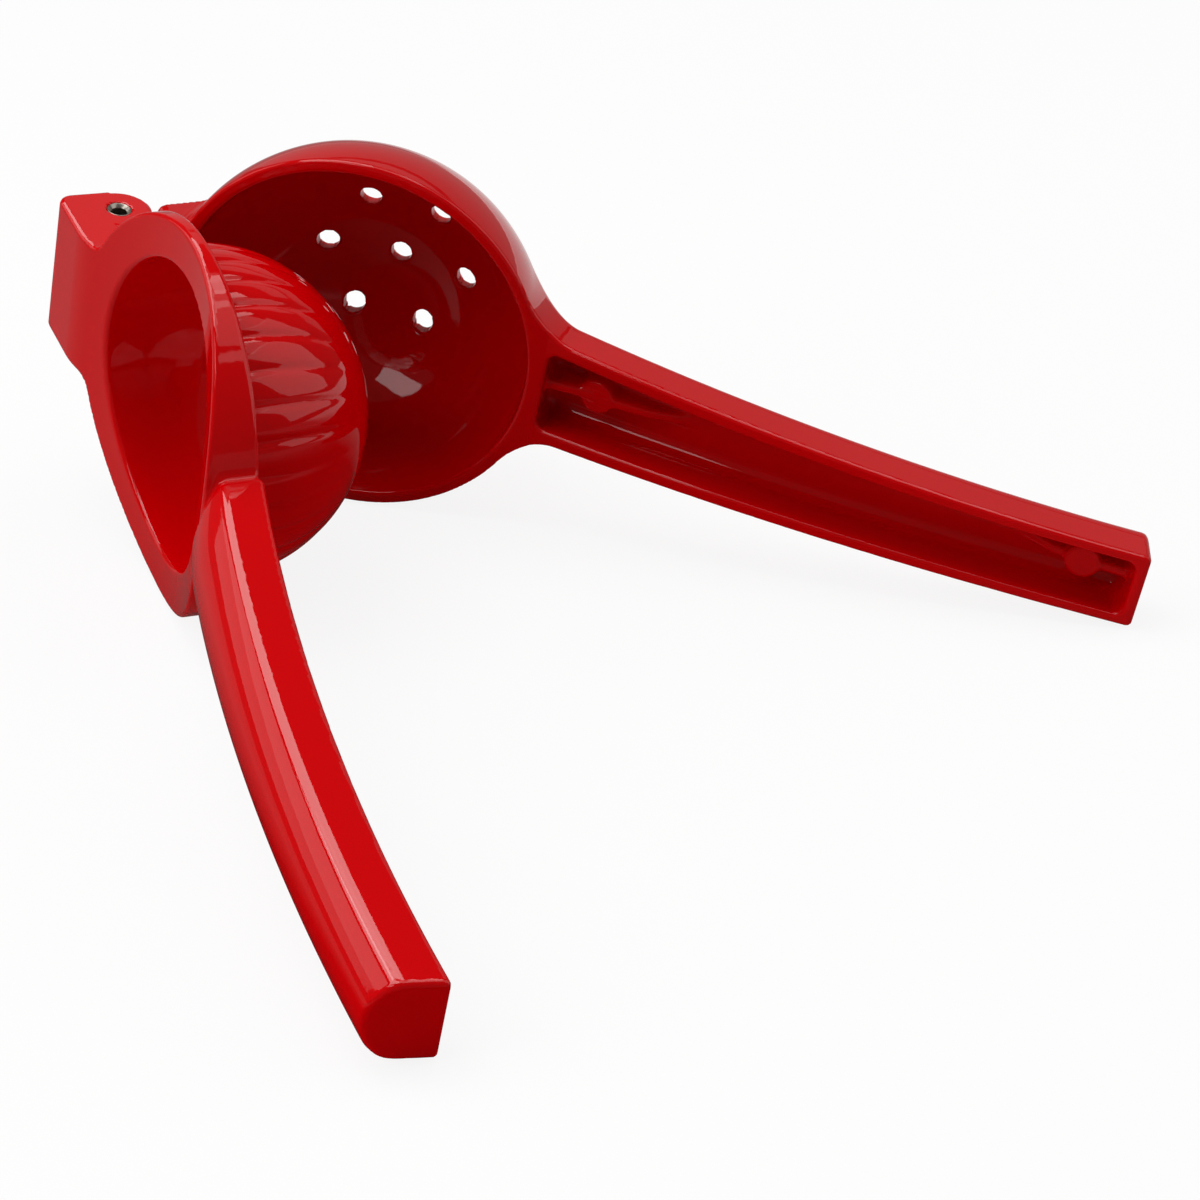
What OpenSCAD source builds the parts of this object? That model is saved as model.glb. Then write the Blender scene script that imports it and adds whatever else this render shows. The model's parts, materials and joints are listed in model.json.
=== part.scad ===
// Hinged lemon squeezer. A perforated bowl and a fluted press dome, each cast
// in one piece with its handle, turn on one hollow pin.
//
// Sizes are millimetres. Both arms are drawn closed, with the hinge pin along Z
// through the origin and the arm along +X. In each arm's own drawing +Y is the
// outside of the squeezer, so the press arm is mirrored before it is opened.
// lying() then tips the whole squeezer until it rests on a table.

/* [Bowl] */
// Outside diameter of the bowl at its rim
bowl_d = 75; // [70:0.5:80]
// Thickness of the bowl's wall
bowl_wall = 2.6; // [2:0.1:3.2]
// Diameter of a juice hole
juice_hole_d = 4.6; // [3.5:0.1:5.5]
// Radius of the circle that the six outer juice holes stand on
juice_circle_r = 14.4; // [12:0.1:18]

/* [Press] */
// Outside diameter of the press ring
ring_d = 74; // [72:0.2:77]
// Diameter of the dish opening in the ring
dish_d = 58.4; // [54:0.2:60]
// Diameter of the dome where it leaves the ring
dome_d = 62; // [60.5:0.5:63]
// How far the dome stands out of the ring
dome_depth = 33.4; // [31:0.1:34]
// Thickness of the dome's wall between two flutes
dome_wall = 2.5; // [2.2:0.1:3]
// Depth of a flute at the foot of the dome
flute_depth = 1.3; // [0.6:0.1:1.5]

/* [Handles] */
// Hinge axis to the end of the bowl's handle
handle_reach = 205.3; // [190:0.5:220]
// Width of a handle at its root
root_w = 22.8; // [21:0.2:24]
// Width of a handle at its tip
tip_w = 16; // [14:0.2:18]
// Height of a handle's flat side
side_h = 8; // [7:0.1:9]
// Rise of the crowned back above the flat sides
crown_h = 4.9; // [4:0.1:5.5]
// Depth of the channel below the handle's open edge
channel_depth = 9.6; // [8.5:0.1:10]

/* [Hinge] */
// Outside diameter of the hinge pin
pin_d = 4.6; // [4:0.1:5]
// Hole along the hollow pin
pin_hole_d = 3; // [2:0.1:3.2]
// Gap around the pin in the bowl arm's knuckle
pin_gap = 0.05; // [0.02:0.01:0.1]
// Width of the hinge block along the pin
block_w = 28.4; // [26:0.2:30]
// Width of the tongue between the ears
tongue_w = 12.4; // [10:0.2:14]
// Gap on each side of the tongue
tongue_gap = 0.3; // [0.2:0.05:0.5]
// Angle between the arms, as the squeezer lies on the table
open_angle = 51.6; // [0:0.1:100]

/* [Hidden] */

// Bowl and ring
arm_x = 47.9;        // hinge axis to the bowl's and the dome's axis
rim_y = 0.7;         // the bowl's rim, behind the hinge axis
bowl_r = bowl_d / 2;
rim_edge = 0.5;      // chamfer along the rim
ring_r = ring_d / 2;
ring_y = 1.63;       // the ring's inner face
saddle_r = 108.5;    // the ring's outer face is a hollow saddle of this radius
saddle_x = 44.3;     // and is thinnest here
saddle_y = 4.7;
dish_r = dish_d / 2;
dome_r = dome_d / 2;
flutes = 30;
flute_reach = 38;    // degrees up the dome at which the flutes run out

// Handles: the open edge is an arc that bows away from the closed gap
bowl_bow = [188, 10.1, 485];   // where it is furthest, how far, arc radius
press_bow = [203, 16.2, 480];
press_reach = handle_reach + 2.7;
root_x = 88;
end_lean = 0.2;      // slope of the end faces
loft_x0 = 79;        // the lofts start inside the bowl's wall and the ring
web_r = 8;           // hollow corner between a handle and the bowl or ring
crease_r = 2;        // soft edge between a handle's side and its crowned back

// Channel in a handle
channel_x0 = 86.2;
end_wall = 2.3;
side_wall = [2.9, 2.0];        // at the root and at the tip
floor_r = 2.8;       // corners along the channel's floor
corner_r = 2.2;      // corners at the channel's ends
rib_t = 2.2;
boss_r = 3.5;
boss_drop = 5.1;     // boss tops below the open edge
near_boss = 8.5;     // from the root, and from the tip, to a boss
far_boss = 12;

// Hinge
block_end = 6.3;
block_corner_r = 2.5;
block_back = [10.4, 9.15];     // at the free end and where it meets the ring
ear_r = 5.8;
knuckle_r = 5.5;
slot_r = knuckle_r + 0.7;
neck_gap_r = 7.4;    // hollow end of the neck around the ears
pin_end = 0.1;       // the pin stands out of each ear by this much

$fn = 96;

// ---------------------------------------------------------------- helpers

// Turns something drawn around +Z so that it stands along +Y.
module along_y(x, y) {
    translate([x, y, 0]) rotate([-90, 0, 0]) children();
}

// A solid through a list of equal rings of points.
module loft(rings) {
    n = len(rings[0]);
    last = (len(rings) - 1) * n;
    sides = [for (j = [0:len(rings) - 2], i = [0:n - 1])
        [j * n + i, (j + 1) * n + i, (j + 1) * n + (i + 1) % n, j * n + (i + 1) % n]];
    caps = [[for (i = [0:n - 1]) i], [for (i = [n - 1:-1:0]) last + i]];
    polyhedron([for (r = rings) each r], concat(sides, caps), convexity = 8);
}

// Height of an arc of radius b[2] that peaks at b[1] where x is b[0].
function bow(x, b) = b[1] - b[2] + sqrt(b[2] * b[2] - (x - b[0]) * (x - b[0]));

// ----------------------------------------------------------------- handles

function along(x, reach) = (x - root_x) / (reach - root_x);
function half_w(x, reach) =
    tip_w / 2 + (root_w - tip_w) / 2 * pow(max(0, 1 - along(x, reach)), 1.6);

// The crown is a little lower where it runs into the ring.
function crown(x) = crown_h - 0.6 * pow(max(0, (97 - x) / 10), 2);

// Section of the outside: flat sides, a round crease, then an arc over the back.
function back_section(w, rise) =
    let (r = (w * w + rise * rise) / (2 * rise), y = side_h + rise - r,
        crease = y + sqrt(pow(r - crease_r, 2) - pow(w - crease_r, 2)),
        a = atan2(w - crease_r, crease - y),
        half = concat([[w, 0]],
            [for (i = [0:4]) let (t = (90 - a) * i / 4)
                [w - crease_r + crease_r * cos(t), crease + crease_r * sin(t)]],
            [for (i = [1:7]) let (t = a - i * a / 8) [r * sin(t), y + r * cos(t)]]))
    concat([for (p = half) [-p[0], p[1]]], [[0, y + r]],
        [for (i = [len(half) - 1:-1:0]) half[i]]);

// Section of the channel: upright sides, round floor corners.
function channel_section(w) =
    concat([[-w, -2]],
        [for (i = [0:4]) let (t = 180 - i * 22.5)
            [-w + floor_r + floor_r * cos(t), channel_depth - floor_r + floor_r * sin(t)]],
        [for (i = [0:4]) let (t = 90 - i * 22.5)
            [w - floor_r + floor_r * cos(t), channel_depth - floor_r + floor_r * sin(t)]],
        [[w, -2]]);

// Places a section at x: first number across, second number down from the edge.
function placed(section, x, edge, lean) =
    [for (p = section) [x - lean * p[1], edge + p[1], p[0]]];

// The outside of a handle. side is -1 where the edge bows towards -Y.
module handle_body(b, side, reach) {
    n = 24;
    loft([for (i = [0:n]) let (x = loft_x0 + (reach - loft_x0) * i / n)
        placed(back_section(half_w(x, reach), crown(x)), x, side * bow(x, b),
            end_lean * max(0, along(x, reach)))]);
}

// The channel. Its width closes in an arc at both ends.
module handle_channel(b, side, reach) {
    x1 = reach - end_wall;
    ends = [0, 0.15, 0.6, 1.3, corner_r];
    xs = concat([for (e = ends) channel_x0 + e],
        [for (i = [1:15]) channel_x0 + (x1 - channel_x0) * i / 16],
        [for (i = [4:-1:0]) x1 - ends[i]]);
    loft([for (x = xs) let (
            e = max(0, corner_r - min(x - channel_x0, x1 - x)),
            wall = side_wall[0] + (side_wall[1] - side_wall[0]) * along(x, reach),
            w = half_w(x, reach) - wall - corner_r + sqrt(corner_r * corner_r - e * e))
        placed(channel_section(w), x, side * bow(x, b), end_lean * max(0, along(x, reach)))]);
}

// Ribs and bosses that stand in the channel.
module handle_ribs(b, side, reach) {
    x1 = reach - end_wall;
    low = channel_depth + 1;
    near = channel_x0 + near_boss + 1.7;
    far = reach - far_boss;
    for (x = [near, far]) {
        along_y(x, side * bow(x, b) + boss_drop) cylinder(r = boss_r, h = low - boss_drop);
    }
    drops = [[channel_x0 - 1, 2.8], [near - 3, 4.6], [near + 4, 5.2], [near + 11, 6.4],
        [near + 22, low]];
    tail = [[far - 14, low], [far - 6, 6.6], [far + 4, 5.4], [x1 - 0.4, 5]];
    for (path = [drops, tail]) {
        linear_extrude(height = rib_t, center = true)
            polygon(concat([for (p = path) [p[0], side * bow(p[0], b) + p[1]]],
                [for (i = [len(path) - 1:-1:0])
                    [path[i][0], side * bow(path[i][0], b) + low + 0.5]]));
    }
}

// Hollow corners, seen from the front, between a round of radius r and the handle.
module web(r, y0, y1, reach) {
    w = half_w(root_x, reach);
    cx = arm_x + sqrt(pow(r + web_r, 2) - pow(w + web_r, 2));
    tx = arm_x + (cx - arm_x) * r / (r + web_r);
    tz = (w + web_r) * r / (r + web_r);
    for (s = [-1, 1]) {
        scale([1, 1, s]) translate([0, y1, 0]) rotate([90, 0, 0])
            linear_extrude(height = y1 - y0) difference() {
                polygon([[tx - 1, tz], [tx, tz], [cx, w], [cx, w - 2], [tx - 1, w - 2]]);
                translate([cx, w + web_r]) circle(r = web_r);
            }
    }
}

// -------------------------------------------------------------------- bowl

// Half a ball whose flat side is at the rim, with a short tube in front of it.
module half_ball(r, tube) {
    along_y(arm_x, rim_y) rotate_extrude() {
        intersection() {
            circle(r = r, $fn = 180);
            square([r, r]);
        }
        if (tube > 0) translate([0, -tube]) square([r, tube]);
    }
}

// The bowl's outside, with a chamfer along the rim's outer edge.
module bowl_body() {
    difference() {
        half_ball(bowl_r, 0);
        along_y(arm_x, rim_y) rotate_extrude()
            polygon([[bowl_r - rim_edge, -1], [bowl_r - rim_edge, 0],
                [bowl_r + rim_edge, 2 * rim_edge], [bowl_r + 2, 2 * rim_edge], [bowl_r + 2, -1]]);
    }
}

module juice_holes() {
    along_y(arm_x, rim_y) {
        cylinder(d = juice_hole_d, h = bowl_r + 2, $fn = 48);
        for (a = [0:60:300]) {
            rotate(a) translate([juice_circle_r, 0, 0])
                cylinder(d = juice_hole_d, h = bowl_r + 2, $fn = 48);
        }
    }
}

// The neck carries the tongue and ends in a hollow around the press arm's ears.
module neck() {
    linear_extrude(height = block_w, center = true) difference() {
        polygon([[5, rim_y], [5, 4.1], [6.7, 6.3], [13.1, 11.8], [17, 14.6], [22, 14.6], [22, rim_y]]);
        circle(r = neck_gap_r);
    }
    linear_extrude(height = tongue_w, center = true) {
        circle(r = knuckle_r);
        polygon([[3.7, -4.06], [8.9, rim_y], [12, rim_y], [12, knuckle_r], [0, knuckle_r], [0, 0]]);
    }
}

module bowl_arm() {
    color("firebrick") lying() {
        difference() {
            union() {
                bowl_body();
                handle_body(bowl_bow, -1, handle_reach);
                web(bowl_r, rim_y, rim_y + side_h - crease_r / 2, handle_reach);
                neck();
            }
            half_ball(bowl_r - bowl_wall, 3);
            handle_channel(bowl_bow, -1, handle_reach);
            juice_holes();
            cylinder(d = pin_d + 2 * pin_gap, h = block_w + 2, center = true, $fn = 64);
        }
        handle_ribs(bowl_bow, -1, handle_reach);
    }
}

// ------------------------------------------------------------------- press

// Section of the dome through one flute. The lobes are full and the valleys
// narrow, as a ribbed reamer has them, and both fade towards the pole.
dome_c = (dome_depth * dome_depth - dome_r * dome_r) / (2 * dome_depth);
dome_s = dome_depth - dome_c;
function flute(a, up) =
    flute_depth * (1 - abs(sin(a * flutes / 2))) * pow(max(0, 1 - up / flute_reach), 0.8);
function dome_ring(up, y) =
    [for (i = [0:flutes * 5 - 1]) let (
            a = 360 * i / (flutes * 5),
            s = dome_s - flute(a, up))
        [arm_x + s * cos(up) * cos(a), y - s * sin(up), s * cos(up) * sin(a)]];

module dome_body() {
    base = ring_y - dome_c;
    loft(concat([dome_ring(0, ring_y + 2)],
        [for (up = [0:flute_reach / 8:flute_reach + 1]) dome_ring(up, base)],
        [for (up = [flute_reach + 9:9:86]) dome_ring(up, base)],
        [dome_ring(88, base)]));
}

// The plan outline stands up to the saddle.
module under_saddle(x0, x1) {
    linear_extrude(height = 90, center = true) difference() {
        translate([x0, ring_y]) square([x1 - x0, 20]);
        translate([saddle_x, saddle_y + saddle_r]) circle(r = saddle_r, $fn = 360);
    }
}

module ring_body() {
    intersection() {
        along_y(arm_x, ring_y) cylinder(r = ring_r, h = 20, $fn = 180);
        under_saddle(5, 90);
    }
}

// Room inside the dome, and the wider opening through the ring.
module dish() {
    depth = dome_depth - dome_wall;
    c = (depth * depth - pow(dome_r - dome_wall, 2)) / (2 * depth);
    s = depth - c;
    along_y(arm_x, ring_y) cylinder(r = dish_r, h = 25, $fn = 180);
    along_y(arm_x, ring_y - c) rotate_extrude() {
        intersection() {
            circle(r = s, $fn = 180);
            translate([0, -s]) square([s, s]);
        }
        square([s, c + 1]);
    }
}

// Block with two ears; its back is closed, and the slot opens to the bowl arm.
module hinge_block() {
    difference() {
        linear_extrude(height = block_w, center = true) {
            circle(r = ear_r);
            polygon([[-ear_r, 0], [-block_end, block_back[0] - block_corner_r],
                [block_corner_r - block_end, block_back[0]], [13, block_back[1]],
                [17, 7.9], [17, ring_y], [4, ring_y], [0, 0]]);
            translate([block_corner_r - block_end, block_back[0] - block_corner_r])
                circle(r = block_corner_r, $fn = 48);
        }
        linear_extrude(height = tongue_w + 2 * tongue_gap, center = true) {
            circle(r = slot_r);
            polygon([[-8, -8], [9, -8], [9, 0.4], [4.2, 4.5], [0, slot_r], [-8, slot_r]]);
        }
        cylinder(d = pin_d, h = block_w + 2, center = true, $fn = 64);
    }
}

module press_arm() {
    color("crimson") lying() opened() {
        difference() {
            union() {
                ring_body();
                difference() {
                    union() {
                        handle_body(press_bow, 1, press_reach);
                        web(ring_r, ring_y, ring_y + side_h - crease_r / 2, press_reach);
                    }
                    along_y(arm_x, -30) cylinder(r = ring_r - 0.5, h = 60, $fn = 180);
                }
                hinge_block();
                dome_body();
            }
            dish();
            handle_channel(press_bow, 1, press_reach);
        }
        handle_ribs(press_bow, 1, press_reach);
    }
}

// --------------------------------------------------------------------- pin

module hinge_pin() {
    len = block_w + 2 * pin_end;
    bevel = 0.4;
    color("silver") lying() rotate_extrude($fn = 64) polygon([
        [pin_hole_d / 2, -len / 2 + bevel], [pin_hole_d / 2 + bevel, -len / 2],
        [pin_d / 2 - bevel / 2, -len / 2], [pin_d / 2, -len / 2 + bevel / 2],
        [pin_d / 2, len / 2 - bevel / 2], [pin_d / 2 - bevel / 2, len / 2],
        [pin_hole_d / 2 + bevel, len / 2], [pin_hole_d / 2, len / 2 - bevel]]);
}

// --------------------------------------------------------------- placement

// Mirrors the press arm's drawing to its own side and opens it.
module opened() {
    rotate(-open_angle) mirror([0, 1, 0]) children();
}
function opened_at(p) = let (c = cos(open_angle), s = sin(open_angle))
    [p[0] * c - p[1] * s, -p[0] * s - p[1] * c, p[2]];

// The squeezer lies on the lower side of the rim and of the ring and on the
// lower edges of both handle tips. Which point of a round edge is lowest
// depends on the tilt, so the table's upward normal is found in a few steps.
tip_bowl = [handle_reach, -bow(handle_reach, bowl_bow), -tip_w / 2];
tip_press = opened_at([press_reach, bow(press_reach, press_bow), -tip_w / 2]);
ring_axis = opened_at([0, 1, 0]);
function low_point(c, r, axis, up) = let (d = up - axis * (up * axis)) c - r * d / norm(d);
function rim_foot(up) = low_point([arm_x, rim_y + rim_edge, 0], bowl_r, [0, 1, 0], up);
function ring_foot(up) = low_point(opened_at([arm_x, ring_y, 0]), ring_r, ring_axis, up);
function table_up(up, steps) = steps == 0 ? up :
    let (a = rim_foot(up), b = ring_foot(up), m = cross(b - a, (tip_bowl + tip_press) / 2 - a))
    table_up(m / norm(m) * sign(m[2]), steps - 1);

up = table_up([0, 0, 1], 5);
right = let (d = [1, 0, 0] - up * up[0]) d / norm(d);
back = cross(up, right);

// Centre of the footprint, between the outermost points of the casting.
x_max = [tip_bowl[0], tip_bowl[1], tip_w / 2] * right;
x_min = opened_at([block_corner_r - block_end, block_back[0] - block_corner_r, -block_w / 2])
    * right - block_corner_r;
y_max = [arm_x, rim_y, 0] * back + bowl_r;
y_min = let (depth = side_h + crown_h, x = press_reach - end_lean * depth)
    opened_at([x, bow(x, press_bow) + depth, 0]) * back;

module lying() {
    low = min(rim_foot(up) * up, tip_bowl * up, tip_press * up);
    shift = [-(x_max + x_min) / 2, -(y_max + y_min) / 2, -low];
    multmatrix([
        [right[0], right[1], right[2], shift[0]],
        [back[0], back[1], back[2], shift[1]],
        [up[0], up[1], up[2], shift[2]],
        [0, 0, 0, 1]]) children();
}

bowl_arm();
press_arm();
hinge_pin();
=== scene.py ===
# %% [markdown]
# # A hinged lemon squeezer in red enamel
# The real tool is two aluminium castings, dipped in glossy enamel, and one
# hollow steel pin. A casting has no sharp corner anywhere: molten metal rounds
# the inside corners and the enamel rounds the outside ones. It could be a mesh
# with bevels, but bevels break down where many curved faces meet. So each
# casting is made here from one distance field, a function that gives every
# point its distance to the surface, below zero inside the metal. Two fields can
# be joined with a real fillet between them.

import json
import math

import bpy
import numpy as np
from mathutils import Matrix, Vector


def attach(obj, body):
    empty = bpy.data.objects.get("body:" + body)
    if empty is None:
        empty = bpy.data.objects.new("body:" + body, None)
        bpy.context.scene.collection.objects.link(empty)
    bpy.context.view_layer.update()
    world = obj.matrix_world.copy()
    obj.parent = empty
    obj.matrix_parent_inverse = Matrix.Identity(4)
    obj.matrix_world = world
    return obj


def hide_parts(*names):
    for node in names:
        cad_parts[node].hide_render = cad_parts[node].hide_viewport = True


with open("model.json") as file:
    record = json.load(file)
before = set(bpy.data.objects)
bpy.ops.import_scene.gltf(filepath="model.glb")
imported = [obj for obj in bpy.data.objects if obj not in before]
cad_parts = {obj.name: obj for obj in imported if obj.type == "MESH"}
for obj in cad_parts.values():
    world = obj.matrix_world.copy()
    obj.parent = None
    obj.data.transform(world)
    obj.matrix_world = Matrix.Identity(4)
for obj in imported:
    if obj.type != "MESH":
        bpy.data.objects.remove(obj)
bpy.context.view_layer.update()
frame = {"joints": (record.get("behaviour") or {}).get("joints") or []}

# %% [markdown]
# ## Two drawings around one pin
# The hinge is the natural origin for both arms. Each arm is described in its
# own drawing: x runs from the hinge along the arm, y points out of the
# squeezer, z runs along the pin, all in millimetres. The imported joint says
# where the pin is and how far the press arm has to turn to close, so both
# drawings can be put back where the solids are.

# %% Place the two drawings
hinge = frame["joints"][0]
pin_centre = np.array(hinge["pos_m"])
pin_dir = -np.array(hinge["axis"]) / np.linalg.norm(hinge["axis"])
arm_dir = np.cross((0.0, 1.0, 0.0), pin_dir)
arm_dir /= np.linalg.norm(arm_dir)
out_dir = np.cross(pin_dir, arm_dir)
OPEN = math.radians(-hinge["range_deg"][0])


def bowl_to_world(p):
    """The bowl arm's drawing, in mm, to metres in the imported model's frame."""
    return pin_centre + (p[:, :1] * arm_dir + p[:, 1:2] * out_dir + p[:, 2:] * pin_dir) / 1000


def press_to_world(p):
    """The press arm's drawing is the mirror image of that one, turned open."""
    c, s = math.cos(OPEN), math.sin(OPEN)
    x, y = p[:, :1], p[:, 1:2]
    return bowl_to_world(np.hstack([x * c - y * s, -x * s - y * c, p[:, 2:]]))


print("opened by", round(math.degrees(OPEN), 1), "degrees")

# %% [markdown]
# ## Joining and cutting
# A few ways to combine fields are enough for both castings. A plain minimum
# joins two shapes and a plain maximum keeps what they share, both with a sharp
# edge. These helpers put a quarter circle of radius r there instead, as a
# mould's fillet or a coat of enamel does. A quarter circle needs two faces that
# meet at a clear angle, so two nearly parallel faces get the softer `crease`.


# %% Helpers for fields
def join(a, b, r):
    """a and b in one piece, with a fillet of radius r in the inside corner."""
    hollow = np.hypot(np.maximum(r - a, 0), np.maximum(r - b, 0))
    return np.maximum(r, np.minimum(a, b)) - hollow


def common(a, b, r):
    """Only what is in both a and b, with the outside corner rounded to r."""
    corner = np.hypot(np.maximum(r + a, 0), np.maximum(r + b, 0))
    return np.minimum(-r, np.maximum(a, b)) + corner


def crease(a, b, k):
    """Only what is in both; the shallow edge where they meet sinks by k / 4."""
    return np.maximum(a, b) + np.maximum(k - np.abs(a - b), 0) ** 2 / (4 * k)


def cut(a, b, r):
    """a without b, with the edge of the cut rounded to r."""
    return common(a, -b, r)


def ball(x, y, z, cx, cy, r):
    """A ball whose middle lies in the drawing's own plane, z = 0."""
    return np.sqrt((x - cx) ** 2 + (y - cy) ** 2 + z**2) - r


def face(x, y, point, facing):
    """Everything behind a flat face through a point, seen along the pin."""
    return facing[0] * (x - point[0]) + facing[1] * (y - point[1])


print("a 1 mm fillet fills a corner by", round(float(-join(0.0, 0.0, 1.0)), 3), "mm")

# %% [markdown]
# ## Handles
# Both handles have the same section: two flat sides, a crowned back and a
# channel that saves metal, with a rib along its middle and two round bosses
# where the mould's ejector pins pushed. Closed, the two bend in one sweep
# towards the press arm's side, and the gap between them gets wider towards the
# tips, so a hand can close around both. A section could be swept along a curve,
# but its width and its arc change at different rates, so here each face is a
# distance of its own.

# %% Sizes of the handles
CUP_X = 47.9  # from the hinge to the middle of the bowl and of the dome
SOFT = 0.8  # the usual rounding of an outside edge under the enamel
SIDE_H, CROWN = 8.0, 4.9  # height of a flat side, and of the crown above it
CROWN_EDGE = 0.8  # softness of the edge between them
CROWN_X, CROWN_FADE, CROWN_LOSS = 97, 10, 0.6  # before CROWN_X the crown gets lower
TIP_W, ROOT_W, ROOT_X = 8.0, 11.4, 88.0  # half widths, and where the root is
HANDLE_X = 62  # start of a handle, inside the ring or the bowl
END_LEAN, END_R = 0.2, 1.1  # the end face leans, and its edge is rounded
# The open edge is part of a big circle, which strays furthest, by lift, at peak.
# A side of 1 bows it out of the squeezer, and -1 into the gap. The handle ends
# at reach.
BOWL_ARC = {"peak": 188.0, "lift": 10.1, "radius": 485.0, "side": -1, "reach": 205.3}
PRESS_ARC = {"peak": 203.0, "lift": 16.2, "radius": 480.0, "side": 1, "reach": 208.0}
EDGE_X = CUP_X + 37.6  # here the rim ends and the handle's open edge begins


def edge_of(x, arc):
    """Height of the open edge, and the cosine of its slope."""
    dx = np.clip(x - arc["peak"], -160, 60)
    drop = np.sqrt(arc["radius"] ** 2 - dx**2)
    return arc["side"] * (arc["lift"] - arc["radius"] + drop), drop / arc["radius"]


def half_width(x, arc):
    """Half the handle's width: wide at the root, then nearly even to the tip."""
    along = np.clip((x - ROOT_X) / (arc["reach"] - ROOT_X), -0.3, 1)
    return TIP_W + (ROOT_W - TIP_W) * (1 - along) ** 1.6


gaps = [float(edge_of(x, BOWL_ARC)[0] + edge_of(x, PRESS_ARC)[0]) for x in (ROOT_X, 200.0)]
print("gap between the closed handles, root and tip:", [round(g, 1) for g in gaps], "mm")


# %% The outside of a handle
def handle_outside(x, y, z, arc):
    """Sides, crowned back and leaning end, still open towards the gap."""
    edge, slope = edge_of(x, arc)
    depth = y - edge
    w = half_width(x, arc)
    rise = CROWN - CROWN_LOSS * np.clip((CROWN_X - x) / CROWN_FADE, 0, 2) ** 2
    r = (w * w + rise * rise) / (2 * rise)
    centre = SIDE_H + rise - r
    crown = np.where(depth > centre, np.hypot(z, depth - centre), np.abs(z)) - r
    body = crease(np.abs(z) - w, crown * slope, CROWN_EDGE)
    end = (x + END_LEAN * depth - arc["reach"]) / math.hypot(1, END_LEAN)
    return np.maximum(common(body, end, END_R), HANDLE_X - x)


def open_edge(x, y, arc, rim):
    """Everything on the gap's side of the rim and of the handle's open edge."""
    edge, slope = edge_of(x, arc)
    top = np.where(x < EDGE_X, rim, edge)
    return (top - y) * np.where(x < EDGE_X, 1, slope)


# %% The channel
CHANNEL_DEPTH, CHANNEL_FLOOR_R = 9.6, 2.8
WALL_X, WALL = (88, 205), (2.9, 2.0)  # the walls get thinner towards the tip
CHANNEL_X, END_WALL, CHANNEL_END_R = 86.2, 2.3, 2.2


def channel(x, y, z, arc):
    """The pocket in a handle's open side, between its two walls and its end."""
    edge, slope = edge_of(x, arc)
    depth = y - edge
    across = np.abs(z) - (half_width(x, arc) - np.interp(x, WALL_X, WALL))
    hollow = common(across, (depth - CHANNEL_DEPTH) * slope, CHANNEL_FLOOR_R)
    far = x + END_LEAN * depth - (arc["reach"] - END_WALL)
    hollow = common(hollow, CHANNEL_X - x, CHANNEL_END_R)
    return common(hollow, far, CHANNEL_END_R)


# %% The rib and the two bosses in the channel
RIB_W, RIB_R = 1.1, 0.9
BOSS_R, BOSS_TOP, BOSS_EDGE = 3.5, 5.1, 0.7
NEAR_BOSS, FAR_BOSS = 96.4, 12  # from the hinge, and back from the handle's end
# The rib's top runs between the bosses along the floor. Each pair is a place and
# the depth below the open edge; RIB_TIP counts its places from the far boss.
RIB_ROOT = ((84, 2.6), (86, 2.8), (93.5, 4.6), (100.5, 5.2), (107.5, 6.4), (118, 10.6))
RIB_TIP = ((-14, 10.6), (-6, 6.6), (4, 5.4), (9, 5.0))


def channel_ribs(x, y, z, arc):
    """The rib and both bosses, kept within the channel's floor and ends."""
    edge, slope = edge_of(x, arc)
    depth = y - edge
    far = arc["reach"] - FAR_BOSS
    path = [*RIB_ROOT, *((far + ahead, below) for ahead, below in RIB_TIP)]
    top = np.interp(x, *zip(*path))
    rib = common(np.abs(z) - RIB_W, (top - depth) * slope, RIB_R)
    for at in (NEAR_BOSS, far):
        boss = common(np.hypot(x - at, z) - BOSS_R, (BOSS_TOP - depth) * slope, BOSS_EDGE)
        rib = join(rib, boss, 0.8)
    inside = np.maximum(85.0 - x, x + END_LEAN * depth - (arc["reach"] - 1.4))
    return np.maximum(np.maximum(rib, inside), depth - CHANNEL_DEPTH - 1)


print("channel", CHANNEL_DEPTH, "mm deep, with walls of", WALL[1], "to", WALL[0], "mm")

# %% [markdown]
# ## The bowl arm
# The bowl is a half ball with a 2.6 mm wall and seven juice holes, drilled the
# way the bowl is pulled out of its mould. On the hinge side a neck as wide as
# the hinge ends in a hollow, and a tongue reaches from it around the pin. The
# holes could be cut by copies of one cylinder from Geometry Nodes, but then
# their rims would be sharp. In the field each rim gets the small rounding that
# enamel leaves there, so they are made in it.

# %% Neck and tongue
RIM_Y = 0.7  # the rim stands this far above the middle of the pin
HINGE_W = 14.2  # half the width of the hinge
EAR_ROOM, EAR_MOUTH = 7.1, 12.3  # the ears' hollow, and where it starts to widen
TONGUE_W, KNUCKLE_R = 6.2, 5.5


def neck_block(x, y, z):
    """The neck before its front is cut flush with the rim."""
    sloping_back = face(x, y, (6.7, 6.3), (-0.652, 0.758))
    plan = np.maximum(sloping_back, 6.0 - x)
    return common(plan, np.maximum(np.abs(z) - HINGE_W, x - 34), SOFT)


def ear_room(x, y, z):
    """The hollow around the press arm's ears, wider at both of its mouths."""
    return np.hypot(x, y) - EAR_ROOM - np.maximum(np.abs(z) - EAR_MOUTH, 0)


def tongue(x, y, z):
    """Knuckle around the pin, and the strut that carries it."""
    front = face(x, y, (8.9, 0.7), (0.675, -0.738))
    strut = np.maximum(np.maximum(front, y - 5.5), np.maximum(-x, x - 13))
    strut = np.maximum(strut, face(x, y, (0, 0), (-0.739, -0.674)))
    plan = np.minimum(np.hypot(x, y) - KNUCKLE_R, strut)
    return common(plan, np.abs(z) - TONGUE_W, 0.6)


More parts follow.
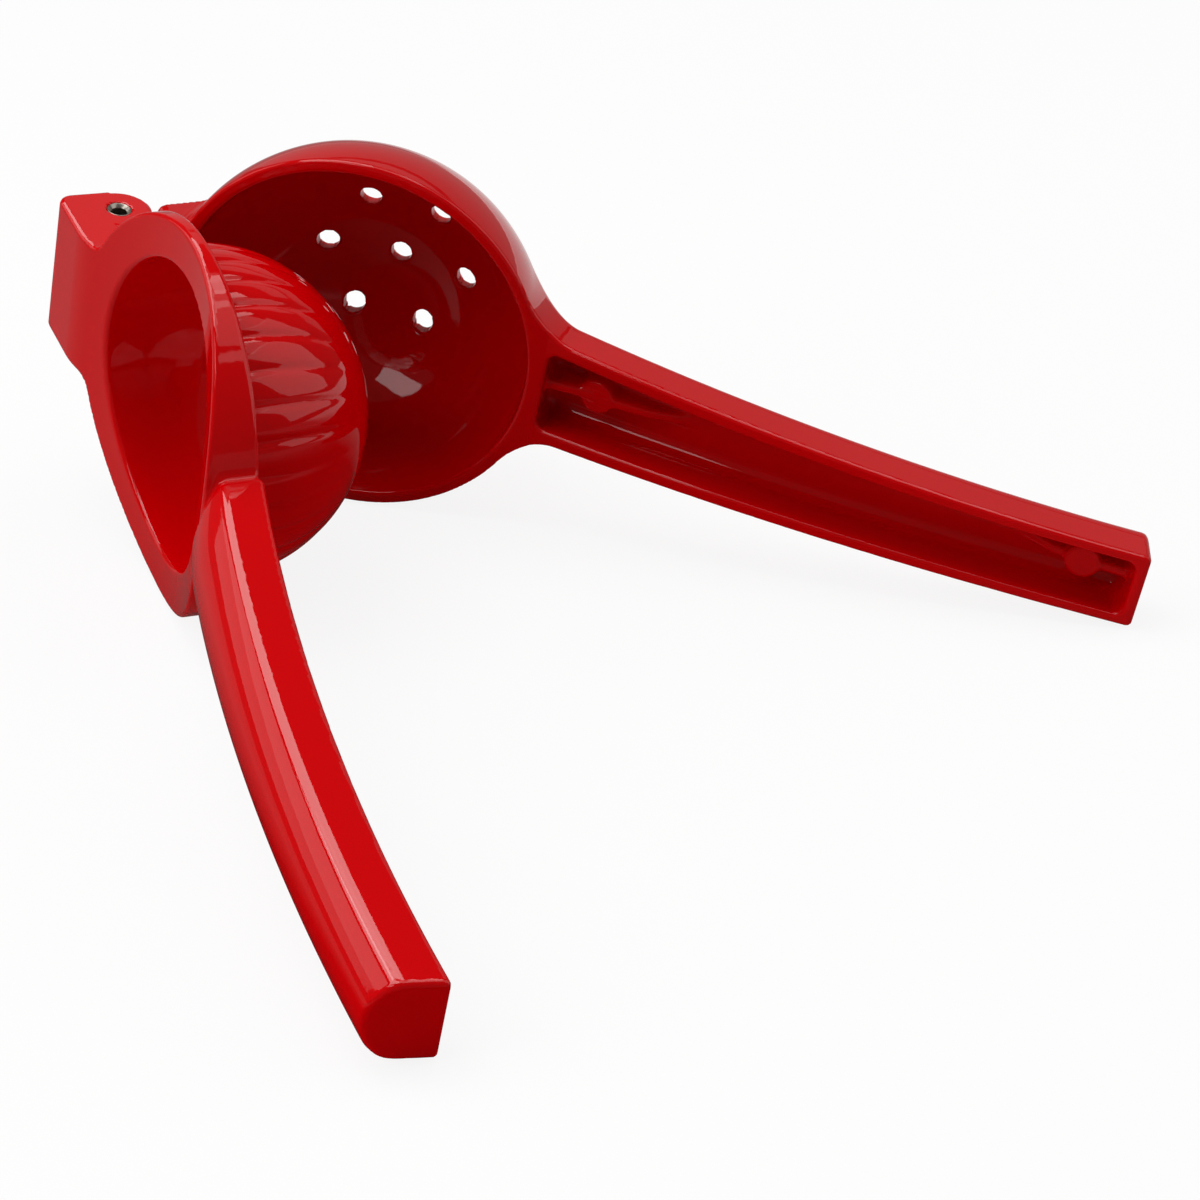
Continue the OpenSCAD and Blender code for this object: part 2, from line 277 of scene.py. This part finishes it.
# %% The bowl arm's field
BOWL_R, BOWL_WALL = 37.5, 2.6
HOLE_R, HOLE_CIRCLE, HOLE_EDGE = 2.1, 14.4, 0.4
HOLES = [(0.0, 0.0)] + [
    (HOLE_CIRCLE * math.cos(a), HOLE_CIRCLE * math.sin(a)) for a in np.radians(range(0, 360, 60))
]
RUNNING_BORE = 2.35  # the tongue turns on the pin


def bowl_arm(x, y, z):
    """All of the bowl arm, added and cut in the order a pattern maker would."""
    solid = ball(x, y, z, CUP_X, RIM_Y, BOWL_R)
    solid = join(solid, handle_outside(x, y, z, BOWL_ARC), 7.0)
    solid = join(solid, neck_block(x, y, z), 2.0)
    solid = common(solid, open_edge(x, y, BOWL_ARC, RIM_Y), SOFT)
    solid = cut(solid, ear_room(x, y, z), 0.5)
    solid = cut(solid, ball(x, y, z, CUP_X, RIM_Y, BOWL_R - BOWL_WALL), SOFT)
    solid = cut(solid, channel(x, y, z, BOWL_ARC), SOFT)
    solid = join(solid, channel_ribs(x, y, z, BOWL_ARC), 0.9)
    solid = join(solid, tongue(x, y, z), 1.0)
    for hx, hz in HOLES:
        hole = np.hypot(x - CUP_X - hx, z - hz) - HOLE_R
        solid = cut(solid, np.maximum(hole, 10 - y), HOLE_EDGE)
    return cut(solid, np.hypot(x, y) - RUNNING_BORE, 0.3)


print("bowl", 2 * BOWL_R, "mm across, with", len(HOLES), "juice holes")

# %% [markdown]
# ## The press arm
# A flat round ring carries the hollow dome that turns the lemon inside out.
# The ring's outer face is a shallow saddle, thinnest across its middle. The
# dome has 30 full lobes with narrow valleys between them, which grip the peel,
# and they fade out before the dome's smooth cap. The valleys could be copies
# around a circle, but on the casting they have no edge of their own. A wave in
# the angle around the dome repeats them and lets them flow into its skin.

# %% Ring and hinge block
RING_R, RING_Y = 37.0, 1.63  # the ring's flat face, towards the bowl, is at RING_Y
# The saddle is part of a big cylinder, which lies the pin's way far outside.
SADDLE_R, SADDLE_X, SADDLE_Y = 108.5, 44.3, 113.2
BLOCK_BACK, BLOCK_END, BLOCK_END_R = 10.4, -6.6, 2.8


def ring_and_block(x, y, z):
    """Their outline seen from the front, under one saddle with a flat back."""
    disc = np.hypot(x - CUP_X, z) - RING_R
    block = np.maximum(np.abs(z) - HINGE_W, x - 30)
    plan = join(disc, block, 2.0)
    saddle = SADDLE_R - np.hypot(x - SADDLE_X, y - SADDLE_Y)
    flat_back = y - BLOCK_BACK
    outer = np.where(x < 40, crease(saddle, flat_back, 1.2), saddle)
    outer = common(outer, BLOCK_END - x, BLOCK_END_R)
    return common(plan, outer, SOFT)


def ears(x, y, z):
    """The round ends around the pin, before the tongue's slot parts them."""
    round_end = np.hypot(x - 0.1, y + 0.1) - 6.3
    web = np.maximum(np.abs(x + 3.2) - 3.4, np.abs(y - 2.0) - 2.1)
    return common(np.minimum(round_end, web), np.abs(z) - HINGE_W, SOFT)


def tongue_slot(x, y, z):
    """Room for the tongue, 0.3 mm wider than it on each side."""
    sides = np.maximum(y - 6.2, x - 9)
    sides = np.maximum(sides, face(x, y, (9, 0.4), (0.65, 0.76)))
    sides = np.maximum(sides, face(x, y, (0, 6.2), (0.375, 0.927)))
    return np.maximum(sides, np.abs(z) - (TONGUE_W + 0.3))


# %% Fluted dome and the dish behind it
FLUTES, FLUTE_DEPTH, FLUTE_W = 30, 0.35, 0.9
FLUTE_REACH = 48.0  # degrees up the dome at which the flutes have faded out
DOME_R, DOME_DEPTH = 31.0, 33.4
DOME_LIFT = (DOME_DEPTH**2 - DOME_R**2) / (2 * DOME_DEPTH)
DISH_R, DISH_Y = 28.7, RING_Y - 2.4


def dome(x, y, z):
    """A cap on a short wall; each valley is narrow, between two full lobes."""
    dx = x - CUP_X
    below = (RING_Y - DOME_LIFT) - y
    across = np.hypot(dx, z)
    up = np.degrees(np.arctan2(np.maximum(below, 0), across))
    lobe = np.abs(np.sin(np.arctan2(z, dx) * FLUTES / 2))
    turn = np.arcsin(lobe) * 2 / FLUTES
    valley = np.exp(-((turn * across / FLUTE_W) ** 2)) + 0.6 * (1 - lobe)
    fade = np.clip(1 - up / FLUTE_REACH, 0, 1) ** 1.2
    reach = np.hypot(across, np.maximum(below, 0))
    skin = reach - (DOME_DEPTH - DOME_LIFT) + FLUTE_DEPTH * valley * fade
    return np.maximum(skin, y - 3.2)


def dish(x, y, z):
    """The hollow behind the dome, which leaves it an even wall."""
    below = np.maximum(DISH_Y - y, 0)
    return np.hypot(np.hypot(x - CUP_X, z), below) - DISH_R


# %% The press arm's field
PRESSED_BORE = 2.3  # the pin is pressed into the ears


def press_arm(x, y, z):
    """All of the press arm, in the same order as the bowl arm."""
    solid = ring_and_block(x, y, z)
    beyond_ring = RING_R + 1 - np.hypot(x - CUP_X, z)
    handle = common(handle_outside(x, y, z, PRESS_ARC), beyond_ring, 1.4)
    solid = join(solid, handle, 2.2)
    solid = common(solid, open_edge(x, y, PRESS_ARC, RING_Y), 0.9)
    # The ears' sides lie in the block's own sides, where a fillet would swell.
    solid = np.minimum(solid, ears(x, y, z))
    solid = cut(solid, tongue_slot(x, y, z), 0.6)
    solid = join(solid, dome(x, y, z), 0.4)
    # The dish's lip is round, and sharper lower down, where the wall is thin.
    solid = cut(solid, dish(x, y, z), np.clip(0.9 * (y - 1.2), 0.2, 0.9))
    solid = cut(solid, channel(x, y, z, PRESS_ARC), SOFT)
    solid = join(solid, channel_ribs(x, y, z, PRESS_ARC), 0.9)
    return cut(solid, np.hypot(x, y) - PRESSED_BORE, 0.2)


print("dome", round(DOME_DEPTH, 1), "mm deep, with", FLUTES, "flutes")

# %% [markdown]
# ## From field to mesh
# Blender shows meshes, so the field has to become one. It is sampled on a grid,
# and every cell that the surface crosses gets one vertex. A volume with Volume
# to Mesh would do the same, but leaves steps that a gloss coat shows up. So
# each vertex is pulled onto the surface along the field's slope, and takes its
# normal from that slope too. Reflections then run as smoothly over the mesh as
# they do over enamel.


# %% Vertices on the surface
def slope_of(field, p, h=0.02):
    """The field's slope at each point, which faces straight out of the metal."""
    g = np.empty_like(p)
    for i in range(3):
        step = np.zeros(3)
        step[i] = h
        a, b = p + step, p - step
        g[:, i] = (field(a[:, 0], a[:, 1], a[:, 2]) - field(b[:, 0], b[:, 1], b[:, 2])) / (2 * h)
    return g


def onto_surface(field, p, longest=0.6):
    """Points moved down the slope in four steps, none of them too long."""
    for _ in range(4):
        g = slope_of(field, p)
        d = field(p[:, 0], p[:, 1], p[:, 2])
        move = g * (d / np.maximum((g * g).sum(1), 0.05))[:, None]
        size = np.linalg.norm(move, axis=1, keepdims=True)
        p = p - move * np.minimum(1, longest / np.maximum(size, 1e-9))
    return p


# %% Cells that the surface crosses, and the quads between them
def crossed_cells(inside):
    """Cells that have some corners inside the metal and some outside."""
    count = np.zeros([n - 1 for n in inside.shape], np.int8)
    a, b, c = count.shape
    for i, j, k in np.ndindex(2, 2, 2):
        count += inside[i : i + a, j : j + b, k : k + c]
    return (count > 0) & (count < 8)


def quads_around(inside, number, axis):
    """Where a grid line along one axis passes the surface, its four cells make a quad."""
    start, stop = [slice(None)] * 3, [slice(None)] * 3
    start[axis], stop[axis] = slice(None, -1), slice(1, None)
    lines = np.argwhere(inside[tuple(start)] != inside[tuple(stop)])
    u, v = [i for i in range(3) if i != axis]
    for i in (u, v):
        lines = lines[(lines[:, i] > 0) & (lines[:, i] < number.shape[i])]
    corners = []
    for du, dv in ((1, 1), (0, 1), (0, 0), (1, 0)):
        cell = lines.copy()
        cell[:, u] -= du
        cell[:, v] -= dv
        corners.append(number[tuple(cell.T)])
    quads = np.stack(corners, 1)
    # Faces look out of the metal; around the middle axis u and v run the other way.
    flip = inside[tuple(lines.T)] == (axis == 1)
    quads[flip] = quads[flip][:, ::-1]
    return quads


def field_mesh(field, xs, ys, zs):
    """Vertices, outward normals and quads of the field's surface."""
    x, y, z = [a.astype(np.float32) for a in (xs, ys, zs)]
    inside = field(x[:, None, None], y[None, :, None], z[None, None, :]) < 0
    crossed = crossed_cells(inside)
    cells = np.argwhere(crossed)
    number = np.full(crossed.shape, -1, np.int64)
    number[crossed] = np.arange(len(cells))
    middle = [(a[1:] + a[:-1]) / 2 for a in (xs, ys, zs)]
    p = onto_surface(field, np.stack([middle[i][cells[:, i]] for i in range(3)], 1))
    quads = np.concatenate([quads_around(inside, number, axis) for axis in range(3)])
    n = slope_of(field, p)
    return p, n / np.linalg.norm(n, axis=1, keepdims=True), quads


# %% Turning the arrays into a Blender object
def make_object(name, points, normals, quads):
    """A smooth mesh that keeps the field's own normals."""
    mesh = bpy.data.meshes.new(name)
    mesh.vertices.add(len(points))
    mesh.vertices.foreach_set("co", points.astype(np.float32).ravel())
    mesh.loops.add(quads.size)
    mesh.loops.foreach_set("vertex_index", quads.astype(np.int32).ravel())
    mesh.polygons.add(len(quads))
    mesh.polygons.foreach_set("loop_start", np.arange(0, quads.size, 4, dtype=np.int32))
    mesh.update(calc_edges=True)
    mesh.polygons.foreach_set("use_smooth", np.ones(len(quads), bool))
    mesh.normals_split_custom_set_from_vertices(normals.astype(np.float32))
    obj = bpy.data.objects.new(name, mesh)
    bpy.context.scene.collection.objects.link(obj)
    return obj


def casting(name, field, to_world, xs, ys, zs, mirrored):
    """A field as an object in its place; a mirrored drawing has its faces turned round."""
    points, normals, quads = field_mesh(field, xs, ys, zs)
    tip = to_world(points + normals)
    points = to_world(points)
    normals = tip - points
    normals /= np.linalg.norm(normals, axis=1, keepdims=True)
    if mirrored:
        quads = quads[:, ::-1]
    obj = make_object(name, points, normals, quads)
    print(name, len(points), "vertices", 2 * len(quads), "triangles")
    return obj


# %% [markdown]
# The grid is fine where fillets and flutes need it, and coarse along the plain
# part of the handles, so both castings stay below 200,000 triangles.

# %% Make the two castings
COARSE = 1.0
OFF_ROUND = 0.013  # keeps the flat faces from falling exactly on a grid line


def grid_lines(stops, end):
    """Grid lines whose spacing changes at every stop, given as (place, spacing)."""
    lines = []
    for (start, gap), (stop, _) in zip(stops, stops[1:] + [(end, 0)]):
        lines.append(np.linspace(start, stop, round((stop - start) / (gap * COARSE)), False))
    return np.concatenate(lines + [[end]]) + OFF_ROUND


bowl_obj = casting(
    "bowl_casting",
    bowl_arm,
    bowl_to_world,
    grid_lines([(-9, 0.5), (20, 0.8), (30, 0.55), (66, 0.8), (82, 0.5), (104, 1.6), (190, 0.6)], 208),
    grid_lines([(-13, 0.55), (-1, 0.4), (2.6, 0.8), (27, 0.6)], 40),
    grid_lines([(-39, 0.8), (-12.5, 0.5), (12.5, 0.8)], 39),
    mirrored=False,
)
press_obj = casting(
    "press_casting",
    press_arm,
    press_to_world,
    grid_lines([(-9, 0.5), (14, 0.6), (80, 0.5), (104, 1.6), (192, 0.6)], 211),
    grid_lines([(-34, 0.9), (-3, 0.5), (13, 0.7)], 32),
    grid_lines([(-39, 0.6), (-12.5, 0.5), (12.5, 0.6)], 39),
    mirrored=True,
)

# %% [markdown]
# ## Finishes
# Enamel is a coat of coloured glass or lacquer over metal. The eye reads it
# from two things: a deep, even colour, and sharp reflections on a second,
# clear surface. A single glossy layer would tint or blur one of them, so the
# shader's coat socket makes that second surface, and the layer below has no
# reflection of its own. A dipped coat is never quite level: a slow swell and a
# fine orange peel bend the reflections a little.


# %% Colours and nodes
def hex_colour(text):
    """An sRGB hex value as linear red, green, blue and alpha."""
    out = []
    for i in (0, 2, 4):
        c = int(text[i : i + 2], 16) / 255
        out.append(c / 12.92 if c <= 0.04045 else ((c + 0.055) / 1.055) ** 2.4)
    return (*out, 1.0)


def add(tree, kind, settings=None, **links):
    """Adds a node, sets its properties, and fills or links its inputs.

    An input is given by its name, with _ for a space, or by _ and its number.
    """
    node = tree.nodes.new(kind)
    for key, value in (settings or {}).items():
        setattr(node, key, value)
    for key, value in links.items():
        socket = node.inputs[int(key[1:])] if key[0] == "_" else node.inputs[key.replace("_", " ")]
        if isinstance(value, bpy.types.NodeSocket):
            tree.links.new(value, socket)
        else:
            socket.default_value = value
    return node


WHITE = hex_colour("FFFFFF")
PER_MM = 1000.0  # divided by a width in mm, the scale of a noise of that width

# %% Red enamel on cast aluminium
SWELL_MM, PEEL_MM, TINT_MM = 7, 2.2, 28  # widths of swell, orange peel and tint
PEEL_SHARE = 0.35
RED, BRIGHT_RED = "CE0004", "D30005"  # the coat is a little thinner in places


def red_enamel():
    """Dipped gloss enamel: an even deep red under sharp, slightly wavy reflections."""
    mat = bpy.data.materials.new("red_enamel_on_cast_aluminium")
    mat.use_nodes = True
    tree = mat.node_tree
    tree.nodes.clear()
    where = add(tree, "ShaderNodeTexCoord").outputs["Object"]
    flow = add(tree, "ShaderNodeTexNoise", Vector=where, Scale=PER_MM / SWELL_MM, Detail=1.5)
    peel = add(tree, "ShaderNodeTexNoise", Vector=where, Scale=PER_MM / PEEL_MM, Detail=1.0)
    relief = add(tree, "ShaderNodeMix", {"data_type": "FLOAT"}, _0=PEEL_SHARE)
    tree.links.new(flow.outputs["Fac"], relief.inputs[2])
    tree.links.new(peel.outputs["Fac"], relief.inputs[3])
    bump = add(tree, "ShaderNodeBump", Strength=0.10, Distance=0.0003, Height=relief.outputs[0])
    shade = add(tree, "ShaderNodeTexNoise", Vector=where, Scale=PER_MM / TINT_MM, Detail=2.0)
    colour = add(tree, "ShaderNodeMix", {"data_type": "RGBA"})
    tree.links.new(shade.outputs["Fac"], colour.inputs[0])
    colour.inputs[6].default_value = hex_colour(RED)
    colour.inputs[7].default_value = hex_colour(BRIGHT_RED)
    skin = add(
        tree,
        "ShaderNodeBsdfPrincipled",
        Base_Color=colour.outputs[2],
        Roughness=0.32,
        Coat_Weight=1.0,
        Coat_Roughness=0.04,
        Normal=bump.outputs[0],
        Coat_Normal=bump.outputs[0],
        Specular_IOR_Level=0.0,
    )
    out = add(tree, "ShaderNodeOutputMaterial")
    tree.links.new(skin.outputs[0], out.inputs[0])
    return mat


enamel = red_enamel()
for obj in (bowl_obj, press_obj):
    obj.data.materials.append(enamel)
    print(obj.name, "wears", enamel.name)

# %% [markdown]
# The pin is bare steel, turned on a lathe and left as it came off the tool. A
# metal's colour is the colour of its reflections. The tool's marks could come
# from an image, but a noise about 0.6 mm wide is enough to blur them, so the
# pin shows as a soft grey ring around a dark hole.

# %% Turned steel
TOOL_MARK_MM = 0.6


def turned_steel():
    """Lathe-turned steel: warm grey, half sharp reflections, no coat."""
    mat = bpy.data.materials.new("turned_steel")
    mat.use_nodes = True
    tree = mat.node_tree
    tree.nodes.clear()
    where = add(tree, "ShaderNodeTexCoord").outputs["Object"]
    marks = add(tree, "ShaderNodeTexNoise", Vector=where, Scale=PER_MM / TOOL_MARK_MM, Detail=2.0)
    bump = add(tree, "ShaderNodeBump", Strength=0.15, Distance=0.0001, Height=marks.outputs["Fac"])
    skin = add(
        tree,
        "ShaderNodeBsdfPrincipled",
        Base_Color=hex_colour("B8B0A4"),
        Metallic=1.0,
        Roughness=0.28,
        Normal=bump.outputs[0],
    )
    out = add(tree, "ShaderNodeOutputMaterial")
    tree.links.new(skin.outputs[0], out.inputs[0])
    return mat


steel = turned_steel()
print("made", steel.name)

# %% [markdown]
# ## The hinge pin
# The pin is a hollow steel rivet: a tube whose two mouths were pressed open to
# a cone. Two cylinders and a boolean would give a tube, but every edge would be
# sharp. A tube is a small section carried around a circle, so Geometry Nodes
# sweep a four-sided section with slanting ends and rounded corners along one.
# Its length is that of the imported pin, and its diameters are those of the bore
# it fits.

# %% The pin's node tree
PIN_FACES, EDGE_FACES = 64, 5  # around the pin, and around each rounded edge


def pin_tree():
    """A node tree that turns five sizes and a material into the pin."""
    tree = bpy.data.node_groups.new("hollow_pin", "GeometryNodeTree")
    sockets = tree.interface
    sockets.new_socket("Geometry", in_out="OUTPUT", socket_type="NodeSocketGeometry")
    for name in ("Length", "Outer radius", "Hole radius", "Mouth depth", "Edge radius"):
        sockets.new_socket(name, in_out="INPUT", socket_type="NodeSocketFloat")
    sockets.new_socket("Material", in_out="INPUT", socket_type="NodeSocketMaterial")
    size = tree.nodes.new("NodeGroupInput").outputs
    less, times = {"operation": "SUBTRACT"}, {"operation": "MULTIPLY"}
    end = add(tree, "ShaderNodeMath", times, _0=size["Length"], _1=0.5).outputs[0]
    mouth = add(tree, "ShaderNodeMath", less, _0=end, _1=size["Mouth depth"]).outputs[0]
    hole = add(
        tree, "ShaderNodeMath", less, _0=size["Hole radius"], _1=size["Outer radius"]
    ).outputs[0]
    # The circle carries the section, so the outer radius is 0 here.
    corners = {}
    section_points = ((0.0, end, 1), (hole, mouth, 1), (hole, mouth, -1), (0.0, end, -1))
    for number, (across, along, side) in enumerate(section_points, 1):
        height = add(tree, "ShaderNodeMath", times, _0=along, _1=side).outputs[0]
        corner = add(tree, "ShaderNodeCombineXYZ", X=across, Y=height)
        corners[f"Point_{number}"] = corner.outputs[0]
    section = add(
        tree, "GeometryNodeCurvePrimitiveQuadrilateral", {"mode": "POINTS"}, **corners
    )
    soft = add(
        tree,
        "GeometryNodeFilletCurve",
        {"mode": "POLY"},
        Curve=section.outputs[0],
        Count=EDGE_FACES,
        Radius=size["Edge radius"],
    )
    around = add(
        tree,
        "GeometryNodeCurvePrimitiveCircle",
        Resolution=PIN_FACES,
        Radius=size["Outer radius"],
    )
    swept = add(
        tree, "GeometryNodeCurveToMesh", Curve=around.outputs[0], Profile_Curve=soft.outputs[0]
    )
    smooth = add(tree, "GeometryNodeSetShadeSmooth", Geometry=swept.outputs[0])
    real = add(tree, "GeometryNodeRealizeInstances", Geometry=smooth.outputs[0])
    dressed = add(
        tree, "GeometryNodeSetMaterial", Geometry=real.outputs[0], Material=size["Material"]
    )
    tree.links.new(dressed.outputs[0], tree.nodes.new("NodeGroupOutput").inputs[0])
    return tree


# %% Run the tree and keep a plain mesh
def apply_nodes(name, tree, sizes, to_world):
    """Runs a node tree with the given inputs and keeps the result as a plain mesh.

    Inputs are set by their identifiers, before Blender works the object out.
    """
    maker = bpy.data.objects.new(name, bpy.data.meshes.new(name))
    bpy.context.scene.collection.objects.link(maker)
    modifier = maker.modifiers.new(name, "NODES")
    modifier.node_group = tree
    sockets = {i.name: i.identifier for i in tree.interface.items_tree if i.in_out == "INPUT"}
    for key, value in sizes.items():
        modifier[sockets[key]] = value
    shaped = maker.evaluated_get(bpy.context.evaluated_depsgraph_get())
    mesh = bpy.data.meshes.new_from_object(shaped)
    maker.modifiers.remove(modifier)
    mesh.transform(to_world)
    maker.data = mesh
    return maker


# %% Make the pin
PIN_SIZES = {  # metres
    "Length": 0.0286,
    "Outer radius": 0.0023,
    "Hole radius": 0.0015,
    "Mouth depth": 0.0008,
    "Edge radius": 0.00012,
    "Material": steel,
}
along_pin = Matrix((arm_dir, out_dir, pin_dir)).transposed().to_4x4()
in_place = Matrix.Translation(pin_centre) @ along_pin
pin_obj = apply_nodes("hollow_pin", pin_tree(), PIN_SIZES, in_place)
print("pin", len(pin_obj.data.polygons), "faces", pin_obj.data.materials[:])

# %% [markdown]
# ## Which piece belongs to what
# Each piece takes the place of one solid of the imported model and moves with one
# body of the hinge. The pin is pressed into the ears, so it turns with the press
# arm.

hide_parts("hinge_pin")
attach(pin_obj, "press")
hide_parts("bowl_arm")
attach(bowl_obj, "bowl")
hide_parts("press_arm")
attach(press_obj, "press")
print("pieces", [obj.name for obj in (bowl_obj, press_obj, pin_obj)])

# %% [markdown]
# ## Studio
# A gloss red object is lit by large soft boxes: the light itself gives the
# shape, and what it reflects gives the gloss. The floor does three jobs, one
# for each kind of ray. The camera sees it almost white, with the object's
# shadow. Light bounces off it as off pale paper. The enamel's reflections see a
# painted reflection instead: for them the floor glows, dark on the camera's side
# and brighter towards the back and sides, as a studio whose front is left dark
# would look, so the walls of the castings go deep red instead of pink.

# %% Floor
SHADOW_SHARE = 0.12  # how much of what the camera sees is paper that takes a shadow
# The painted reflection, a glow that only reflections see: axis, from and to (m), glow at each of the
# two.
FLOOR_GLOW = {
    "back": ("Y", 0.07, 0.24, 0.0, 0.8),
    "left": ("X", -0.04, -0.14, 0.01, 0.2),
    "right": ("X", 0.04, 0.2, 0.01, 0.15),
    "beside": ("X", -0.2, -0.1, 0.2, 1.0),  # dims the back's glow on the left
}


def pale_floor():
    """Matt white paper for the camera and for bounced light, and a painted reflection, a glow that
    only glossy rays see.
    """
    mat = bpy.data.materials.new("pale_floor")
    mat.use_nodes = True
    tree = mat.node_tree
    tree.nodes.clear()
    where = add(tree, "ShaderNodeTexCoord").outputs["Object"]
    place = add(tree, "ShaderNodeSeparateXYZ", Vector=where)
    glow = {}
    for name, (axis, start, stop, low, high) in FLOOR_GLOW.items():
        ramp = add(tree, "ShaderNodeMapRange", Value=place.outputs[axis])
        for key, value in zip(("From Min", "From Max", "To Min", "To Max"), (start, stop, low, high)):
            ramp.inputs[key].default_value = value
        glow[name] = ramp.outputs[0]
    most, times = {"operation": "MAXIMUM"}, {"operation": "MULTIPLY"}
    sides = add(tree, "ShaderNodeMath", most, _0=glow["left"], _1=glow["right"])
    back = add(tree, "ShaderNodeMath", times, _0=glow["back"], _1=glow["beside"])
    level = add(tree, "ShaderNodeMath", most, _0=back.outputs[0], _1=sides.outputs[0])
    # A painted reflection: the floor glows for glossy rays only, dark near the camera and brighter
    # towards the back and sides.
    mirrored = add(tree, "ShaderNodeEmission", Color=WHITE, Strength=level.outputs[0])

    white = add(tree, "ShaderNodeEmission", Color=WHITE, Strength=1.0)
    chalk = add(tree, "ShaderNodeBsdfDiffuse", Color=WHITE)
    seen = add(
        tree, "ShaderNodeMixShader", _0=SHADOW_SHARE, _1=white.outputs[0], _2=chalk.outputs[0]
    )
    paper = add(tree, "ShaderNodeBsdfDiffuse", Color=hex_colour("E7E7E7"))
    ray = add(tree, "ShaderNodeLightPath").outputs
    mix = add(
        tree, "ShaderNodeMixShader", _0=ray["Is Camera Ray"], _1=paper.outputs[0], _2=seen.outputs[0]
    )
    mix = add(
        tree, "ShaderNodeMixShader", _0=ray["Is Glossy Ray"], _1=mix.outputs[0], _2=mirrored.outputs[0]
    )
    tree.links.new(mix.outputs[0], add(tree, "ShaderNodeOutputMaterial").inputs[0])
    return mat


bpy.ops.mesh.primitive_plane_add(size=6, location=(0, 0, -0.0004))
floor = bpy.context.object
floor.name = "floor"
floor.data.materials.append(pale_floor())
print("floor", [round(x, 1) for x in floor.dimensions], "m")

# %% [markdown]
# The world is white only where the camera looks straight at it. Everywhere
# else it is nearly dark, so that the soft boxes alone draw the reflections.

# %% World
WORLD_DIM = 0.06
world = bpy.data.worlds.new("studio")
bpy.context.scene.world = world
world.use_nodes = True
tree = world.node_tree
tree.nodes.clear()
ray = add(tree, "ShaderNodeLightPath").outputs
seen = add(tree, "ShaderNodeBackground", Color=WHITE, Strength=1.0)
dim = add(tree, "ShaderNodeBackground", Color=WHITE, Strength=WORLD_DIM)
mix = add(tree, "ShaderNodeMixShader", _0=ray["Is Camera Ray"], _1=dim.outputs[0], _2=seen.outputs[0])
tree.links.new(mix.outputs[0], add(tree, "ShaderNodeOutputWorld").inputs[0])
print("world gives", WORLD_DIM, "of white")

# %% [markdown]
# ## Lamps
# Each soft box is given by where it hangs and how bright its face is, because
# that is what the enamel shows. A lamp's power follows from its area. Two of
# the boxes only fill: they light the red, and glossy rays don't see them, so
# they leave no patch in the coat. One strip is linked to the press casting
# alone, because on the bowl's wall it would draw a streak.


# %% A soft box
def soft_box(name, azimuth, elevation, distance, width, height, radiance):
    """A panel that faces the object; azimuth 0 is behind it, 90 to the right."""
    a, e = math.radians(azimuth), math.radians(elevation)
    aim = Vector((0, 0, 0.03))
    out = Vector((math.sin(a) * math.cos(e), math.cos(a) * math.cos(e), math.sin(e)))
    at = aim + distance * out
    data = bpy.data.lights.new(name, "AREA")
    data.shape = "RECTANGLE"
    data.size, data.size_y = width, height
    data.energy = radiance * math.pi * width * height
    lamp = bpy.data.objects.new(name, data)
    lamp.location = at
    lamp.rotation_euler = (aim - at).to_track_quat("-Z", "Y").to_euler()
    bpy.context.scene.collection.objects.link(lamp)
    return lamp


# %% Hang the lamps
# Name, azimuth, elevation, distance, width and height in metres, radiance.
SOFT_BOXES = (
    ("overhead_left", 270, 70, 1.3, 0.75, 0.75, 3.4),
    ("overhead", 90, 84, 1.35, 0.7, 0.7, 1.4),
    ("left_front", 238, 27, 1.4, 1.1, 1.1, 1.75),
    ("left_key", 217, 49, 1.3, 0.68, 0.28, 2.4),
    ("left_side", 281, 27, 1.3, 0.65, 0.9, 0.5),
    ("left_upper", 281, 34, 1.3, 0.65, 0.55, 0.5),
    ("crease_strip", 325, 54, 1.3, 0.68, 0.5, 3.4),
    ("right_panel", 77, 30, 1.3, 1.05, 1.2, 0.75),
    ("right_high", 74, 65, 1.3, 0.7, 0.52, 0.6),
    ("right_fill", 50, 20, 1.4, 1.0, 0.9, 0.7),
    ("back_high", 345, 68, 1.3, 0.7, 0.25, 0.45),
    ("back_low", 0, 12, 1.6, 1.9, 0.9, 0.2),
    ("back_mid", 0, 36, 1.6, 1.2, 0.32, 0.3),
    ("square", 25, 63, 1.3, 0.26, 0.26, 2.3),
)
lamps = {row[0]: soft_box(*row) for row in SOFT_BOXES}
for name in ("left_front", "right_fill"):
    lamps[name].visible_glossy = False

pressed = bpy.data.collections.new("lit_by_the_strip")
pressed.objects.link(press_obj)
lamps["crease_strip"].light_linking.receiver_collection = pressed
print("lamps", len(lamps))

# %% [markdown]
# ## Camera
# A long lens from above, in front and a little to the right keeps both handles
# in proportion. Its place is given from the pin, so the view stays on the
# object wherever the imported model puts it. The Standard view transform shows
# the enamel's red as it was mixed; a filmic one would wash it out.

# %% Camera
LENS, SENSOR = 107.4, 36  # mm
CAMERA_FROM_PIN = (0.224378, -0.600758, 0.276583)  # metres
LOOK, UPWARD = (-0.181635, 0.858755, -0.479112), (-0.120782, 0.464045, 0.877539)
camera_data = bpy.data.cameras.new("camera")
camera = bpy.data.objects.new("camera", camera_data)
bpy.context.scene.collection.objects.link(camera)
camera_data.sensor_width = SENSOR
camera_data.lens = LENS
camera_data.clip_start = 0.05
look = Vector(LOOK).normalized()
side = look.cross(Vector(UPWARD)).normalized()
turned = Matrix((side, side.cross(look), -look)).transposed().to_4x4()
camera.matrix_world = Matrix.Translation(pin_centre + np.array(CAMERA_FROM_PIN)) @ turned
bpy.context.scene.camera = camera
bpy.context.scene.view_settings.view_transform = "Standard"
print("camera at", [round(x, 3) for x in camera.matrix_world.translation])
